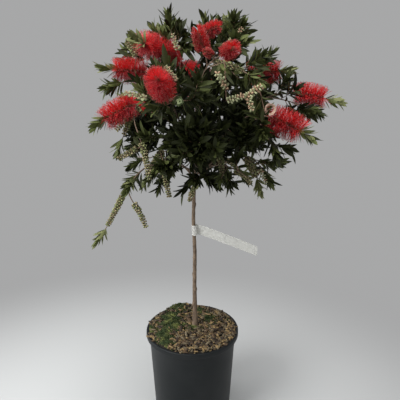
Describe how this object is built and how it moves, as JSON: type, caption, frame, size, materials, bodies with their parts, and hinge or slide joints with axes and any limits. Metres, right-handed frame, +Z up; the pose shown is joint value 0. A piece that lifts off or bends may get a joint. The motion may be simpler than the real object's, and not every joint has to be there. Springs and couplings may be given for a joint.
{
  "type": "potted bottlebrush plant",
  "caption": "Potted bottlebrush standard: a bare slim stem with a round weeping head of narrow leaves, red brush flowers and seed capsules, and a blank loop label.",
  "frame": {"origin": "middle of the pot's flat underside, on the level it stands on", "axes": "+Z up along the stem, -Y towards the viewer of the picture, +X to the right"},
  "size_m": [0.6087, 0.5267, 1.0311],
  "materials": {
    "pot_plastic": "matt black-grey plastic, lightly scuffed",
    "bark_mulch": "loose bark chips with moss",
    "bark": "thin flaking bark, light brown to grey",
    "foliage": "leathery dark green leaves, pale young tips",
    "blossom": "fine red stamens with dark tips",
    "capsules": "dull tan-green woody capsules",
    "label_plastic": "thin matt white plastic"
  },
  "bodies": {
    "root": {"pot": "pot_plastic", "mulch": "bark_mulch", "stem": "bark", "label": "label_plastic", "bough_leader": "bark", "bough_top_right": "bark", "bough_upper_back": "bark", "bough_upper_left": "bark", "bough_left": "bark", "bough_front_left": "bark", "bough_lower_left": "bark", "bough_front": "bark", "bough_upper_right": "bark", "bough_right": "bark", "bough_front_right": "bark", "bough_weeping_right": "bark", "bough_lower_right": "bark", "bough_weeping_left": "bark", "bough_lower_front": "bark", "bough_inner_front": "bark", "bough_inner_left": "bark", "bough_inner_right": "bark", "bough_inner_back": "bark", "bough_back": "bark", "bough_back_left": "bark", "bough_back_right": "bark", "bough_lower_back_left": "bark", "bough_lower_back_right": "bark", "foliage_leader": "foliage", "foliage_top_right": "foliage", "foliage_upper_left": "foliage", "foliage_left": "foliage", "foliage_front_left": "foliage", "foliage_front": "foliage", "foliage_upper_right": "foliage", "foliage_right": "foliage", "foliage_front_right": "foliage", "foliage_weeping_right": "foliage", "foliage_lower_right": "foliage", "foliage_weeping_left": "foliage", "foliage_lower_left": "foliage", "foliage_lower_front": "foliage", "foliage_inner_front": "foliage", "foliage_inner_left": "foliage", "foliage_inner_right": "foliage", "foliage_inner_back": "foliage", "foliage_upper_back": "foliage", "foliage_back": "foliage", "foliage_back_left": "foliage", "foliage_back_right": "foliage", "foliage_lower_back_left": "foliage", "foliage_lower_back_right": "foliage"}
  },
  "joints": []
}
